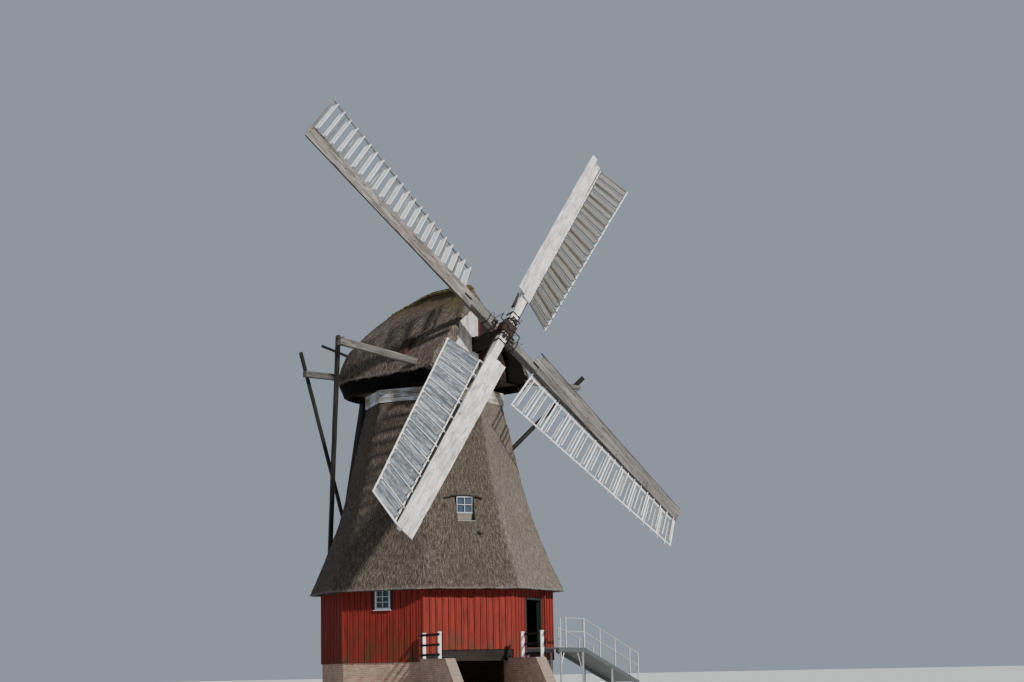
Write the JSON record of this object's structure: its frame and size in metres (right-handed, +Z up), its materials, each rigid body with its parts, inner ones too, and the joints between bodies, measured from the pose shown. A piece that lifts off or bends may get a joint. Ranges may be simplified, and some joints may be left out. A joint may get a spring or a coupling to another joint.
{
  "type": "traditional windmill",
  "caption": "Thatched octagonal smock mill with a turning cap, tail pole, shuttered sails, boarded storey, masonry base with a cart passage and an access ramp.",
  "frame": {"origin": "centre of the octagonal tower at the lowest ground level, on the underside of the cellar floor", "axes": "+Z up; -Y out of the passage face; +X to the right seen from the passage side"},
  "size_m": [16.5503, 15.6348, 22.859],
  "materials": {
    "brick": "weathered red brick with pale mortar",
    "concrete": "rough floor slab",
    "timber": "old dark timber",
    "grey_timber": "weathered grey timber",
    "red_boards": "weathered red paint on battened boards",
    "green_paint": "dark green paint",
    "thatch": "weathered reed, matt and fibrous",
    "white_paint": "white paint, weathered",
    "window_glass": "clear pane, dark behind",
    "curb_paint": "pale blue-grey paint, peeling",
    "dark_paint": "near-black paint",
    "galvanised": "dull galvanised steel",
    "gable_paint": "dark red and peeling white paint",
    "sail_wood": "whitewashed wood, weathered",
    "sail_paint": "cream-white paint, weathered",
    "sail_film": "thin wrinkled translucent sheet",
    "iron": "rusty dark iron"
  },
  "bodies": {
    "tower": {"base_diagonal": "brick", "base_square": "brick", "cellar_floor": "concrete", "curb_boards": "curb_paint", "curb_diagonal": "timber", "curb_square": "timber", "door_frame": "green_paint", "door_head_and_sill": "red_boards", "floor_joists": "timber", "landing_deck": "galvanised", "mill_floor": "timber", "passage_lintel": "timber", "railing_bars": "dark_paint", "railing_posts": "white_paint", "ramp_deck": "galvanised", "ramp_legs": "galvanised", "ramp_railings": "galvanised", "thatch_diagonal": "thatch", "thatch_square": "thatch", "walls_diagonal": "red_boards", "walls_square": "red_boards", "window_frames": "white_paint", "window_glass": "window_glass", "wing_walls": "brick"},
    "door": {"door_leaf": "green_paint"},
    "cap": {"cap_thatch_left": "thatch", "cap_thatch_right": "thatch", "cap_thatch_rear": "thatch", "cap_ring": "timber", "cap_floor": "timber", "long_spreader": "grey_timber", "short_spreader": "grey_timber", "tail_pole": "grey_timber", "tail_beam": "timber", "brake_lever": "grey_timber", "tail_braces": "grey_timber", "shaft_beams": "timber", "front_gable": "gable_paint"},
    "rotor": {"windshaft": "timber", "stock_front": "sail_wood", "stock_rear": "sail_wood", "poll_end": "iron", "sail_lattices": "sail_wood", "shutters_a": "sail_film", "shutters_b": "sail_film", "shutters_c": "sail_film", "shutters_d": "sail_film", "leading_boards": "sail_paint", "pull_rods": "iron", "spider_cross": "iron"}
  },
  "joints": [
    {"name": "cap_yaw", "type": "hinge", "parent": "tower", "child": "cap", "pos_m": [0, 0, 12.29], "axis": [0, 0, 1], "continuous": true},
    {"name": "rotor_spin", "type": "hinge", "parent": "cap", "child": "rotor", "pos_m": [1.72889, -3.60041, 14.307], "axis": [0.4227, -0.8803, 0.2154], "continuous": true},
    {"name": "door_hinge", "type": "hinge", "parent": "tower", "child": "door", "pos_m": [2.4253, -3.2809, 3.175], "axis": [0, 0, 1], "range_deg": [-90, 15]}
  ]
}
